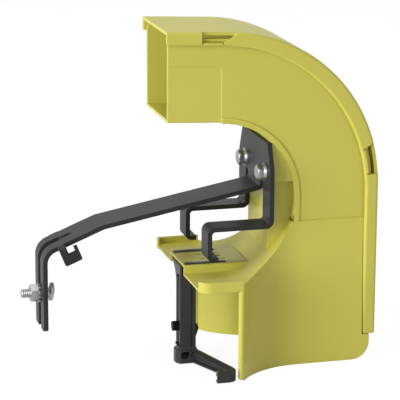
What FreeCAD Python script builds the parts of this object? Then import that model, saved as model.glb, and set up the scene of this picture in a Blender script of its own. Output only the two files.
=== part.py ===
import FreeCAD, Part

import math
import os

from FreeCAD import Vector

# Fibre raceway fitting: a moulded duct elbow with a snap cover, a trumpet mouth and a seat plate,
# hung on a stamped steel bracket with a slotted arm, and held to a tray wall by a moulded clamp.
# Millimetres. X runs along the upper duct, away from its open end. Y is across, Z is up.
# The origin is the middle of the seat plate's front edge, on the plate's upper face.

SIZES = {
    # moulded body
    "wall": 2.5,
    "duct_half": 30.2,
    "duct_end_x": -14.5,
    "duct_slope": 2.5,
    "floor_x": 76.4,
    "floor_radius": 54.4,
    "floor_height": 109.3,
    "edge_x": 132.3,
    "edge_height": 168.35,
    "edge_radius": 107.5,
    "floor_round": 3.0,
    "end_corner": 3.0,
    "rim_start_x": 23.8,
    "rim_width": 4.2,
    "rim_proud": 0.9,
    "rim_round": 0.7,
    "spigot_step_x": 23.4,
    "spigot_recess": 0.6,
    "spigot_height": 39.6,
    "spigot_round": 4.0,
    "rail_height": 2.0,
    "rail_depth": 1.6,
    # seat plate and the return curve of the floor
    "plate_half": 61.4,
    "plate_wall": 1.4,
    "plate_corner_near": 9.0,
    "plate_corner_far": 3.0,
    "plate_lip": 1.6,
    "plate_lip_up": 4.8,
    "plate_lip_down": 2.6,
    "plate_lip_wrap": 6.0,
    "return_radius": 53.0,
    "return_rise": 30.0,
    # trumpet skirt
    "skirt_top": 36.0,
    "skirt_bottom": -67.7,
    "skirt_half_top": 31.2,
    "skirt_half_bottom": 35.8,
    "flare_x": 31.5,
    "flare_tangent_x": 78.0,
    "skirt_corner": 13.0,
    "flare_corner": 5.0,
    "flare_bead": 2.1,
    "flare_bead_low": -67.0,
    # raised table on the plate
    "table_half": 19.5,
    "table_height": 6.0,
    "table_length": 46.5,
    "table_round": 2.0,
    "pocket_round": 0.3,
    "slot_y": 15.8,
    "slot_width": 4.0,
    "slot_start": 1.3,
    "slot_end": 31.0,
    "slit_width": 1.8,
    "slit_length": 5.2,
    "slit_front_x": 14.3,
    "slit_front_y": 5.2,
    "slit_rear_x": 28.0,
    "slit_rear_y": 7.5,
    "table_hole_x": 31.2,
    "table_hole": 5.0,
    # bracket boss
    "boss_x": 59.4,
    "boss_half": 24.9,
    "boss_shoulder": 64.6,
    "boss_top_half": 29.4,
    # cover
    "cover_wall": 2.3,
    "cover_gap": 0.4,
    "cover_stand": 4.3,
    "cover_end_x": -16.2,
    "cover_rise": 4.7,
    "cover_lip": 9.5,
    "cover_lip_deepens": 4.0,
    "cover_bottom": -49.4,
    "cover_round": 2.0,
    "latch_x": 8.3,
    "latch_length": 15.5,
    "latch_slant": 8.3,
    "latch_depth": 7.2,
    "latch_angle": 4.0,
    "latch_sweep": 10.5,
    "latch_slit": 1.2,
    "latch_slit_drop": 1.3,
    # steel bracket
    "sheet": 3.2,
    "bend_inside": 2.2,
    "bracket_half": 38.0,
    "bracket_top": 92.8,
    "bracket_top_half": 30.4,
    "bracket_shoulder": 74.5,
    "leg_inner": 21.2,
    "leg_low": 33.8,
    "leg_front_x": 12.0,
    "toe_low": 12.4,
    "toe_x": 19.6,
    "relief_top": 64.5,
    "arm_half": 14.8,
    "arm_root": 59.3,
    "arm_slope": 10.8,
    "arm_knee_x": -56.3,
    "arm_drop_slope": 22.1,
    "prong_x": -98.7,
    "prong_bottom": -36.4,
    "prong_bend": 9.0,
    "knee_bend": 12.0,
    "prong_round": 3.0,
    "arm_slot_half": 4.0,
    "arm_slot_x": -82.0,
    "arm_slit_half": 2.0,
    "arm_slit_x": -75.5,
    # lug on the arm's near edge, and its short twin
    "lug_x": -87.7,
    "lug_width": 12.6,
    "lug_length": 11.1,
    "lug_strap": 5.2,
    "lug_window": 5.0,
    "lug_window_low": 3.9,
    "lug_panel_drop": 0.4,
    "lug_reach": 5.2,
    "lug_twin_width": 7.0,
    "lug_twin_length": 6.5,
    # screws that hold the bracket to the boss
    "screw_y": 23.6,
    "screw_z": 71.0,
    "screw_radius": 2.9,
    "screw_length": 12.0,
    "screw_clearance": 0.15,
    "screw_flats": 10.0,
    "screw_head": 5.7,
    "flange_radius": 6.6,
    "flange_height": 1.7,
    # bolt, washer and nut in the arm's slot
    "stud_radius": 3.175,
    "stud_z": -11.7,
    "stud_tip": -111.8,
    "stud_clearance": 0.15,
    "nut_flats": 11.1,
    "nut_height": 5.5,
    "washer_radius": 6.9,
    "washer_height": 1.4,
    "washer_root": 5.3,
    "head_gap": 3.6,
    "head_height": 2.8,
    "head_length": 13.5,
    "head_width": 7.2,
    "head_turn": 43.0,
    # tray wall clamp
    "slider_web": 4.6,
    "slider_clearance": 0.3,
    "slider_end": 36.5,
    "slider_hole": 2.2,
    "runner_proud": 0.8,
    "post_y": -10.9,
    "post_half": 5.5,
    "post_left": -2.0,
    "post_right": 9.6,
    "post_wall": 2.0,
    "post_groove_x": 6.0,
    "post_groove": 1.6,
    "post_groove_depth": 0.7,
    "post_low": -55.0,
    "gusset_top": 4.2,
    "gusset_low": -9.0,
    "gusset_reach": 7.7,
    "wedge_depth": 3.2,
    "wedge_width": 3.0,
    "wedge_top": -39.5,
    "wedge_low": -52.0,
    "loop_top": -57.0,
    "loop_height": 9.6,
    "jaw_top": -59.6,
    "loop_wall": 2.0,
    "loop_far": -4.7,
    "loop_near": -18.0,
    "loop_left": -4.6,
    "loop_right": 10.6,
    "jaw_x": 26.8,
    "jaw_y": -54.0,
    "jaw_turn": 6.6,
    "jaw_lip_x": 12.4,
    "tooth_pitch": 1.5,
    "tooth_height": 0.7,
    "strap_thick": 1.2,
    "strap_gap": 0.2,
    "strap_foot": 1.2,
    "strap_top": -3.8,
    "strap_low": -54.3,
    "clamp_screw_z": -40.3,
    "clamp_screw_radius": 2.0,
    "clamp_head_radius": 3.5,
    "clamp_head_height": 4.2,
    "clamp_nut_flats": 5.8,
    "clamp_nut_height": 3.0,
}

doc = FreeCAD.newDocument("fibre_raceway_fitting")
sheet = doc.addObject("Spreadsheet::Sheet", "sizes")
for row, (name, value) in enumerate(SIZES.items(), start=1):
    sheet.set(f"A{row}", name)
    sheet.set(f"B{row}", str(value))
    sheet.setAlias(f"B{row}", name)
doc.recompute()
V = {name: float(getattr(sheet, name)) for name in SIZES}

ALONG_X = FreeCAD.Rotation(Vector(0, 1, 0), 90)
SIDE_VIEW = FreeCAD.Rotation(Vector(1, 0, 0), 90)
FRONT_VIEW = FreeCAD.Rotation(Vector(1, 1, 1), 120)


# An outline is a start point and a list of steps. A step is an end point, or a middle point and an
# end point for an arc.
def edges_of(start, steps):
    here = Vector(start[0], start[1], 0)
    edges = []
    for step in steps:
        if isinstance(step[0], tuple):
            middle = Vector(step[0][0], step[0][1], 0)
            end = Vector(step[1][0], step[1][1], 0)
            edges.append(Part.Arc(here, middle, end))
        else:
            end = Vector(step[0], step[1], 0)
            edges.append(Part.LineSegment(here, end))
        here = end
    return edges


def sketch(name, start, steps, rotation=None, base=(0, 0, 0)):
    drawing = doc.addObject("Sketcher::SketchObject", name)
    drawing.addGeometry(edges_of(start, steps), False)
    drawing.Placement = FreeCAD.Placement(Vector(*base), rotation or FreeCAD.Rotation())
    return drawing


def extrusion(name, drawing, direction, length, both_ways=False):
    solid = doc.addObject("Part::Extrusion", name)
    solid.Base = drawing
    solid.DirMode = "Custom"
    solid.Dir = direction
    solid.Solid = True
    solid.Symmetric = both_ways
    solid.setExpression("LengthFwd", length)
    return solid


def side_extrusion(name, start, steps, half_width):
    """A side view outline in X and Z, made as thick as twice half_width across Y."""
    drawing = sketch(name + "_outline", start, steps, SIDE_VIEW)
    return extrusion(name, drawing, Vector(0, 1, 0), f"2 * ({half_width})", True)


def side_slab(name, start, steps, y_from, width):
    """A side view outline in X and Z, made from y_from towards +Y."""
    drawing = sketch(name + "_outline", start, steps, SIDE_VIEW, (0, y_from, 0))
    return extrusion(name, drawing, Vector(0, 1, 0), width)


def plan_slab(name, start, steps, z_from, height):
    """A plan outline in X and Y, made from z_from upwards."""
    drawing = sketch(name + "_outline", start, steps, None, (0, 0, z_from))
    return extrusion(name, drawing, Vector(0, 0, 1), height)


def front_slab(name, start, steps, x_from, depth):
    """A front view outline in Y and Z, made from x_from towards +X."""
    drawing = sketch(name + "_outline", start, steps, FRONT_VIEW, (x_from, 0, 0))
    return extrusion(name, drawing, Vector(1, 0, 0), depth)


def rod(name, x_from, y, z, radius, length):
    """A cylinder whose axis runs along +X."""
    cylinder = doc.addObject("Part::Cylinder", name)
    cylinder.setExpression("Radius", radius)
    cylinder.setExpression("Height", length)
    cylinder.Placement = FreeCAD.Placement(Vector(x_from, y, z), ALONG_X)
    return cylinder


def fuse(name, *parts):
    union = doc.addObject("Part::MultiFuse", name)
    union.Shapes = list(parts)
    union.Refine = True
    return union


def cut(name, base, *tools):
    tool = tools[0] if len(tools) == 1 else fuse(name + "_tools", *tools)
    result = doc.addObject("Part::Cut", name)
    result.Base = base
    result.Tool = tool
    result.Refine = True
    return result


def common(name, base, tool):
    result = doc.addObject("Part::Common", name)
    result.Base = base
    result.Tool = tool
    return result


def mirrored(name, source):
    """The twin of source on the other side of the middle plane Y = 0."""
    twin = doc.addObject("Part::Mirroring", name)
    twin.Source = source
    twin.Normal = Vector(0, 1, 0)
    return twin


def rounded(name, base, radius, chosen):
    """Rounds the edges of base for which chosen(edge) is true."""
    doc.recompute()
    result = doc.addObject("Part::Fillet", name)
    result.Base = base
    numbers = [n for n, edge in enumerate(base.Shape.Edges, start=1) if chosen(edge)]
    result.Edges = [(n, radius, radius) for n in numbers]
    return result


def polar(centre, radius, degrees):
    angle = math.radians(degrees)
    return (centre[0] + radius * math.cos(angle), centre[1] + radius * math.sin(angle))


def box_steps(x0, z0, x1, z1):
    return (x0, z0), [(x1, z0), (x1, z1), (x0, z1), (x0, z0)]


def hexagon(flats):
    corners = [polar((0, 0), flats / math.sqrt(3), 30 + 60 * n) for n in range(7)]
    return corners[0], corners[1:]


# The elbow's side view is one family of curves: a straight run that rises by duct_slope towards the
# open end, a tangent arc, and a vertical run. floor, edge, cover and lip each have their own radius.
SLOPE = math.tan(math.radians(V["duct_slope"]))
TURN = 90 - V["duct_slope"]


class Curve:
    """Straight run of the given height at X = 0, then an arc, then a vertical run at X = x."""

    def __init__(self, height, radius, x):
        self.height = height
        self.radius = radius
        self.x = x
        touch_x = x - radius + radius * math.sin(math.radians(V["duct_slope"]))
        drop = radius * math.cos(math.radians(V["duct_slope"]))
        self.centre = (x - radius, self.line(touch_x) - drop)

    def line(self, x):
        return self.height - SLOPE * x

    def moved(self, inward):
        """The same curve moved towards the outside of the elbow by inward, or back if negative."""
        shift = inward / math.cos(math.radians(V["duct_slope"]))
        return Curve(self.height + shift, self.radius + inward, self.x + inward)

    def start(self, x):
        return (x, self.line(x))

    def forward(self, x_end, z_end):
        """Steps from the start at x_end round to the vertical run's point at z_end."""
        first = polar(self.centre, self.radius, TURN)
        middle = polar(self.centre, self.radius, TURN / 2)
        last = (self.x, self.centre[1])
        return [first, (middle, last), (self.x, z_end)]

    def backward(self, x_end):
        """Steps from a point on the vertical run back to the start at x_end."""
        first = (self.x, self.centre[1])
        middle = polar(self.centre, self.radius, TURN / 2)
        last = polar(self.centre, self.radius, TURN)
        return [first, (middle, last), self.start(x_end)]


floor = Curve(V["floor_height"], V["floor_radius"], V["floor_x"])
edge = Curve(V["edge_height"], V["edge_radius"], V["edge_x"])
cover = edge.moved(V["cover_rise"])
lip = Curve(cover.height - V["cover_lip"], cover.radius - V["cover_lip_deepens"], cover.x - V["cover_lip"])

END_X = V["duct_end_x"]
WALL = V["wall"]
COVER_HALF = V["duct_half"] + V["cover_stand"]
PLATE_WALL = V["plate_wall"]
RETURN_X = V["floor_x"] - V["return_radius"]
RETURN_Z = V["return_radius"]
FAR_OUT = 200.0


# Duct body: one moulding. The duct is drawn solid, its floor edges are rounded, and it is hollowed
# from the open side. The skirt walls, return floor, plate, table and boss are fused to it.
def elbow_region(outer_from, outer_to, x_end, z_end):
    start = outer_from.start(x_end)
    steps = outer_from.forward(x_end, z_end) + [(outer_to.x, z_end)] + outer_to.backward(x_end)
    return start, steps + [start]


def duct_shell():
    start, steps = elbow_region(floor, edge, END_X, V["skirt_top"])
    block = side_extrusion("duct_block", start, steps, "sizes.duct_half")

    def on_floor_edge(e):
        inside_arc = math.hypot(e.CenterOfMass.x - floor.centre[0], e.CenterOfMass.z - floor.centre[1])
        at_side = abs(abs(e.CenterOfMass.y) - V["duct_half"]) < 0.01
        box = e.BoundBox
        long_enough = max(box.XLength, box.ZLength) > 5
        near_floor = inside_arc < floor.radius + 1 and box.XMin > END_X + 1
        runs_down = abs(box.XMin - V["floor_x"]) < 0.01 and box.XLength < 0.01
        return at_side and long_enough and (near_floor or runs_down)

    def on_end_corner(e):
        at_end = abs(e.CenterOfMass.x - END_X) < 0.01
        return at_end and e.CenterOfMass.z > edge.line(END_X) - 0.01 and e.BoundBox.XLength < 0.01

    smooth = rounded("duct_rounded", block, V["floor_round"], on_floor_edge)
    return rounded("duct_end_rounded", smooth, V["end_corner"], on_end_corner)


def duct_cavity():
    inside = floor.moved(WALL)
    outside = edge.moved(FAR_OUT / 4)
    start, steps = elbow_region(inside, outside, END_X - 5, V["skirt_top"] - 5)
    return side_extrusion("duct_cavity", start, steps, "sizes.duct_half - sizes.wall")


def spigot_recess(side):
    """The shallow panel round the duct's end, where a coupler slides on."""
    top = floor.height + V["spigot_height"]
    right = V["spigot_step_x"]
    turn = V["spigot_round"]
    start = (END_X - 5, floor.line(END_X) - 5)
    steps = [
        (right, floor.line(right) - 5),
        (right, top - SLOPE * right - turn),
        ((right - turn * 0.3, top - SLOPE * right - turn * 0.3), (right - turn, top - SLOPE * (right - turn))),
        (END_X - 5, top - SLOPE * (END_X - 5)),
        start,
    ]
    y_from = V["duct_half"] - V["spigot_recess"]
    slab = side_slab(f"spigot_recess_{side}", start, steps, y_from, "sizes.spigot_recess + 1")
    return slab if side == "far" else mirrored("spigot_recess_near", slab)


def spigot_floor_recess():
    """The same step under the duct's floor."""
    right = V["spigot_step_x"]
    deep = V["spigot_recess"]
    start = (END_X - 5, floor.line(END_X) - 5)
    steps = [
        (right, floor.line(right) - 5),
        (right, floor.line(right) + deep),
        (END_X - 5, floor.line(END_X - 5) + deep),
        start,
    ]
    return side_extrusion("spigot_recess_floor", start, steps, "sizes.duct_half + 1")


def rail(side):
    """The bead along the wall's free edge that the cover's lips close over."""
    inner = edge.moved(-V["rail_height"])
    start, steps = elbow_region(inner, edge, END_X + V["end_corner"], V["cover_bottom"] + 6)
    y_from = V["duct_half"] - WALL / 2
    width = "sizes.rail_depth + sizes.wall / 2"
    slab = side_slab(f"cover_rail_{side}", start, steps, y_from, width)
    return slab


def rim(side):
    """The rolled bead round the inside of the elbow's bend, from the straight run to the skirt."""
    start, steps = elbow_region(floor, floor.moved(V["rim_width"]), V["rim_start_x"], V["skirt_top"])
    bead = side_slab("rim_bead", start, steps, V["duct_half"] - 1, "1 + sizes.rim_proud")
    face = V["duct_half"] + V["rim_proud"]

    def on_outer_face(e):
        long_enough = e.Length > 2 * V["rim_width"]
        return abs(e.CenterOfMass.y - face) < 0.01 and e.BoundBox.YLength < 0.01 and long_enough

    return rounded("rim_" + side, bead, V["rim_round"], on_outer_face)


def flare_beads():
    """The rolled left edge of each trumpet wall, round at its foot."""
    radius = V["flare_bead"]
    x = V["flare_x"] - WALL + radius - 0.6
    y = V["plate_half"] - radius
    low = V["flare_bead_low"] + radius
    stem = doc.addObject("Part::Cylinder", "flare_bead_stem")
    stem.setExpression("Radius", "sizes.flare_bead")
    stem.Height = -low - PLATE_WALL / 2
    stem.Placement.Base = Vector(x, y, low)
    foot = doc.addObject("Part::Sphere", "flare_bead_foot")
    foot.setExpression("Radius", "sizes.flare_bead")
    foot.Placement.Base = Vector(x, y, low)
    far = fuse("flare_bead_far", stem, foot)
    return far, mirrored("flare_bead_near", far)


def flare_outline(half, inset):
    """Plan of one trumpet wall on the far side: flare arc and straight run, then back inset by a wall."""
    x0 = V["flare_x"]
    x1 = V["flare_tangent_x"]
    rise = V["plate_half"] - half
    radius = ((x1 - x0) ** 2 + rise ** 2) / (2 * rise)
    centre = (x1, half + radius)
    sweep = math.degrees(math.asin((x1 - x0) / radius))
    outer_end = polar(centre, radius, 270 - sweep)
    outer_mid = polar(centre, radius, 270 - sweep / 2)
    inner_end = polar(centre, radius + inset, 270 - sweep)
    inner_mid = polar(centre, radius + inset, 270 - sweep / 2)
    steps = [
        (outer_mid, (x1, half)),
        (V["edge_x"], half),
        (V["edge_x"], half - inset),
        (x1, half - inset),
        (inner_mid, inner_end),
        outer_end,
    ]
    return outer_end, steps


def flare_area(half):
    """Plan of all that lies between the two trumpet walls' outer faces, plate included."""
    start, steps = flare_outline(half, WALL)
    far_side = steps[:2]
    near_side = [
        (V["flare_tangent_x"], -half),
        ((far_side[0][0][0], -far_side[0][0][1]), (start[0], -start[1])),
    ]
    return start, far_side + [(V["edge_x"], -half)] + near_side + [start]


def loft(name, lower, upper, z_low, z_high):
    sections = []
    for place, (start, steps), z in (("low", lower, z_low), ("high", upper, z_high)):
        sections.append(sketch(f"{name}_{place}", start, steps, None, (0, 0, z)))
    solid = doc.addObject("Part::Loft", name)
    solid.Sections = sections
    solid.Solid = True
    solid.Ruled = True
    return solid


def skirt_wall():
    lower = flare_outline(V["skirt_half_bottom"], WALL)
    upper = flare_outline(V["skirt_half_top"], WALL)
    return loft("skirt_wall_far", lower, upper, V["skirt_bottom"], V["skirt_top"])


def skirt_reach(name):
    """All the space between the two trumpet walls' outer faces."""
    lower = flare_area(V["skirt_half_bottom"])
    upper = flare_area(V["skirt_half_top"])
    return loft(name, lower, upper, V["skirt_bottom"], V["skirt_top"])


def lip_seat():
    """Strip along the skirt's free edge that steps in, so that the cover's lip lies flush."""
    inner = COVER_HALF - V["cover_wall"] - V["cover_gap"] - WALL
    start, steps = box_steps(lip.x - 3, V["skirt_bottom"], V["edge_x"], V["skirt_top"])
    slab = side_slab("lip_seat_slab", start, steps, inner, "sizes.wall + 5")
    return common("lip_seat_far", slab, skirt_reach("lip_seat_reach"))


def lip_relief():
    face = COVER_HALF - V["cover_wall"] - V["cover_gap"]
    low = V["cover_bottom"] - V["cover_gap"]
    start, steps = box_steps(lip.x - V["cover_gap"], low, V["edge_x"] + 5, V["skirt_top"] + 5)
    return side_slab("lip_relief_far", start, steps, face, "10")


def above_return():
    """Everything above the plate and inside the C of the floor, to be cleared of skirt wall."""
    left = -FAR_OUT
    middle = polar((RETURN_X, RETURN_Z), V["return_radius"], -45)
    steps = [
        (RETURN_X, 0),
        (middle, (V["floor_x"], RETURN_Z)),
        (V["floor_x"], V["skirt_top"] + FAR_OUT / 4),
        (left, V["skirt_top"] + FAR_OUT / 4),
        (left, 0),
    ]
    return side_extrusion("above_return", (left, 0), steps, "sizes.plate_half + 5")


def skirt_corners():
    """Rounds the free lower corners of the skirt walls in the side view."""
    low = V["skirt_bottom"]
    pieces = []
    for name, x, turn, way in (
        ("skirt_corner_right", V["edge_x"], V["skirt_corner"], -1),
        ("skirt_corner_left", V["flare_x"] - WALL, V["flare_corner"], 1),
    ):
        centre = (x + way * turn, low + turn)
        middle = (centre[0] - way * turn * math.cos(math.pi / 4), centre[1] - turn * math.sin(math.pi / 4))
        start = (x - way * 5, low - 5)
        steps = [
            (centre[0], low - 5),
            (centre[0], low),
            (middle, (x, centre[1])),
            (x - way * 5, centre[1]),
            start,
        ]
        pieces.append(side_extrusion(name, start, steps, "sizes.plate_half + 5"))
    return pieces


def return_floor():
    """The floor's return curve, a sheet as thick as the plate, trimmed to the trumpet's outer faces."""
    inner = V["return_radius"]
    centre = (RETURN_X, RETURN_Z)
    top = V["skirt_top"] + V["return_rise"]
    start = (RETURN_X - 1, 0)
    steps = [
        (RETURN_X, 0),
        (polar(centre, inner, -45), (V["floor_x"], RETURN_Z)),
        (V["floor_x"], top),
        (V["floor_x"] + PLATE_WALL, top),
        (V["floor_x"] + PLATE_WALL, RETURN_Z),
        (polar(centre, inner + PLATE_WALL, -45), (RETURN_X, -PLATE_WALL)),
        (RETURN_X - 1, -PLATE_WALL),
        start,
    ]
    band = side_extrusion("return_band", start, steps, "sizes.plate_half")
    reach = skirt_reach("return_reach")
    start, steps = box_steps(RETURN_X - 2, -V["plate_half"], V["flare_x"], V["plate_half"])
    strip = plan_slab("return_strip", start, steps, -PLATE_WALL, "2 * sizes.wall")
    start, steps = box_steps(V["floor_x"] - 1, -V["duct_half"], V["floor_x"] + WALL, V["duct_half"])
    upright = plan_slab("return_upright", start, steps, V["skirt_top"], "sizes.return_rise")
    return common("return_floor", band, fuse("return_limits", reach, strip, upright))


def plate_outline(inset, x_to):
    """Plan of the plate, or of the same shape moved in by inset, with its two front corners rounded."""
    half = V["plate_half"] - inset
    near = V["plate_corner_near"] - inset
    far = V["plate_corner_far"] - inset
    share = 1 - math.cos(math.pi / 4)
    start = (x_to, -half)
    steps = [
        (x_to, half),
        (inset + far, half),
        ((inset + far * share, half - far * share), (inset, half - far)),
        (inset, -half + near),
        ((inset + near * share, -half + near * share), (inset + near, -half)),
        start,
    ]
    return start, steps


def seat_plate():
    """Plate with a lip along each side and round its front corners, cut from one slab above and below."""
    start, steps = plate_outline(0, V["flare_x"])
    height = "sizes.plate_lip_up + sizes.plate_lip_down"
    slab = plan_slab("plate_slab", start, steps, -V["plate_lip_down"], height)
    clearings = []
    front_half = V["plate_half"] - V["plate_lip_wrap"]
    below = -V["plate_lip_down"] - 5
    for place, z, height in (
        ("upper", 0, "sizes.plate_lip_up + 5"),
        ("lower", below, "sizes.plate_lip_down + 5 - sizes.plate_wall"),
    ):
        start, steps = plate_outline(V["plate_lip"], V["flare_x"] + 10)
        clearings.append(plan_slab(f"plate_{place}", start, steps, z, height))
        start, steps = box_steps(-10, -front_half, V["plate_corner_near"], front_half)
        clearings.append(plan_slab(f"plate_front_{place}", start, steps, z, height))
    return cut("seat_plate", slab, *clearings)


def table_section(inset):
    half = V["table_half"] - inset
    top = V["table_height"] - inset
    turn = V["pocket_round"] if inset else V["table_round"]
    bend = turn * (1 - math.cos(math.pi / 4))
    low = -PLATE_WALL - (5 if inset else 0)
    start = (-half, low)
    steps = [
        (half, low),
        (half, top - turn),
        ((half - bend, top - bend), (half - turn, top)),
        (-half + turn, top),
        ((-half + bend, top - bend), (-half, top - turn)),
        start,
    ]
    return start, steps


def table():
    start, steps = table_section(0)
    return front_slab("table", start, steps, 0, "sizes.table_length")


def table_pocket():
    start, steps = table_section(PLATE_WALL)
    return front_slab("table_pocket", start, steps, -5, "sizes.table_length + 5 - 2 * sizes.plate_wall")


def table_openings():
    """Guide slots, the four short slits and the screw hole through the table's top."""
    pieces = []
    half = V["slot_width"] / 2
    thin = V["slit_width"] / 2
    lines = []
    for side, way in (("far", 1), ("near", -1)):
        front, rear = V["slit_front_x"], V["slit_rear_x"]
        lines += [
            ("slot_" + side, V["slot_start"], V["slot_end"], way * V["slot_y"], half),
            ("slit_front_" + side, front, front + V["slit_length"], way * V["slit_front_y"], thin),
            ("slit_rear_" + side, rear, rear + V["slit_length"], way * V["slit_rear_y"], thin),
        ]
    for name, x0, x1, y, half_width in lines:
        start, steps = box_steps(x0, y - half_width, x1, y + half_width)
        pieces.append(plan_slab(name, start, steps, 0, "sizes.table_height + 5"))
    hole = doc.addObject("Part::Cylinder", "table_hole")
    hole.setExpression("Radius", "sizes.table_hole / 2")
    hole.setExpression("Height", "sizes.table_height + 5")
    hole.Placement.Base = Vector(V["table_hole_x"], 0, 0)
    return pieces + [hole]


def boss():
    """Solid pad inside the C that carries the bracket, wider where the two screws go in."""
    x0 = V["boss_x"]
    low = RETURN_Z - math.sqrt(V["return_radius"] ** 2 - (x0 - RETURN_X) ** 2)
    high = floor.centre[1] + math.sqrt(V["floor_radius"] ** 2 - (x0 - floor.centre[0]) ** 2)
    inset = WALL / 2
    low_turn = math.degrees(math.atan2(low - RETURN_Z, x0 - RETURN_X)) / 2
    high_turn = math.degrees(math.atan2(high - floor.centre[1], x0 - floor.centre[0])) / 2
    start = (x0, low)
    foot = (V["floor_x"] + inset, RETURN_Z)
    crown = (V["floor_x"] + inset, floor.centre[1])
    low_out = (x0 + inset * 0.6, low - inset * 0.8)
    high_out = (x0 + inset * 0.6, high + inset * 0.8)
    steps = [
        low_out,
        (polar((RETURN_X, RETURN_Z), V["return_radius"] + inset, low_turn), foot),
        crown,
        (polar(floor.centre, V["floor_radius"] + inset, high_turn), high_out),
        (x0, high),
        start,
    ]
    slim = side_extrusion("boss_slim", start, steps, "sizes.boss_half")
    wide = side_extrusion("boss_wide", start, steps, "sizes.boss_top_half")
    start, steps = box_steps(x0 - 5, V["boss_shoulder"], V["floor_x"] + 5, high + 5)
    above = side_extrusion("boss_above", start, steps, "sizes.duct_half")
    return fuse("boss", slim, common("boss_shoulders", wide, above))


def boss_holes():
    return [
        rod(f"boss_hole_{side}", V["boss_x"] - 1, y, V["screw_z"], "sizes.screw_radius + sizes.screw_clearance",
            "sizes.screw_length + 2")
        for side, y in (("far", V["screw_y"]), ("near", -V["screw_y"]))
    ]


def duct_body():
    wall_far = cut("skirt_stepped_far", fuse("skirt_side_far", skirt_wall(), lip_seat()), lip_relief())
    wall_near = mirrored("skirt_stepped_near", wall_far)
    skirt = cut("skirt", fuse("skirt_walls", wall_far, wall_near), above_return(), *skirt_corners())
    recess_far = spigot_recess("far")
    recess_near = mirrored("spigot_recess_near", recess_far)
    shell = cut("duct_hollow", duct_shell(), duct_cavity(), recess_far, recess_near, spigot_floor_recess())
    rail_far = rail("far")
    rail_near = mirrored("cover_rail_near", rail_far)
    rim_far = rim("far")
    trims = [rail_far, rail_near, rim_far, mirrored("rim_near", rim_far), *flare_beads()]
    solid = fuse("body_solid", shell, skirt, return_floor(), seat_plate(), table(), boss(), *trims)
    return cut("duct_body", solid, table_pocket(), *table_openings(), *boss_holes())


# Cover: one moulding with a lip down each side, and two snap tongues on each lip. Each tongue is
# freed by two slits under a window.
def latch_windows():
    far_lip = COVER_HALF - V["cover_wall"]
    pieces = []
    top = cover.height
    x0 = V["latch_x"]
    x1 = x0 + V["latch_length"]
    x2 = x1 + V["latch_slant"]
    low = top - V["latch_depth"]
    start = (x0, top + 5)
    steps = [
        (x0, low - SLOPE * x0),
        (x1, low - SLOPE * x1),
        (x2, top - SLOPE * x2 - V["cover_round"]),
        (x2, top + 5),
        start,
    ]
    pieces.append(side_slab("window_top", start, steps, far_lip, "sizes.cover_wall + 5"))
    for name, x in (("slit_top_a", x0), ("slit_top_b", x1 - V["latch_slit"])):
        start, steps = box_steps(x, low - SLOPE * x - V["latch_slit_drop"], x + V["latch_slit"], low - SLOPE * x + 0.5)
        pieces.append(side_slab(name, start, steps, far_lip, "sizes.cover_wall + 5"))
    a0 = V["latch_angle"]
    a1 = a0 + V["latch_sweep"]
    inner = cover.radius - V["latch_depth"]
    outer = cover.radius + 5
    centre = cover.centre
    start = polar(centre, inner, a0)
    steps = [
        (polar(centre, inner, (a0 + a1) / 2), polar(centre, inner, a1)),
        polar(centre, outer, a1 + 2),
        polar(centre, outer, a0),
        start,
    ]
    pieces.append(side_slab("window_side", start, steps, far_lip, "sizes.cover_wall + 5"))
    thin = math.degrees(V["latch_slit"] / inner)
    deep = inner - V["latch_slit_drop"]
    for name, angle in (("slit_side_a", a0), ("slit_side_b", a1 - thin)):
        start = polar(centre, deep, angle)
        steps = [
            polar(centre, inner + 0.5, angle),
            polar(centre, inner + 0.5, angle + thin),
            polar(centre, deep, angle + thin),
            start,
        ]
        pieces.append(side_slab(name, start, steps, far_lip, "sizes.cover_wall + 5"))
    far = fuse("latch_far", *pieces)
    return far, mirrored("latch_near", far)


def duct_cover():
    start, steps = elbow_region(lip, cover, V["cover_end_x"], V["cover_bottom"])
    block = side_extrusion("cover_block", start, steps, "sizes.duct_half + sizes.cover_stand")

    def on_outer_edge(e):
        box = e.BoundBox
        at_side = abs(abs(e.CenterOfMass.y) - COVER_HALF) < 0.01
        reach = math.hypot(e.CenterOfMass.x - cover.centre[0], e.CenterOfMass.z - cover.centre[1])
        return at_side and box.YLength < 0.01 and reach > cover.radius - 7 and e.Length > 20

    smooth = rounded("cover_rounded", block, V["cover_round"], on_outer_edge)
    inside = cover.moved(-V["cover_wall"])
    beyond = lip.moved(-20)
    start, steps = elbow_region(beyond, inside, END_X - 5, V["cover_bottom"] - 5)
    inner = "sizes.duct_half + sizes.cover_stand - sizes.cover_wall"
    cavity = side_extrusion("cover_cavity", start, steps, inner)
    return cut("duct_cover", smooth, cavity, *latch_windows())


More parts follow.
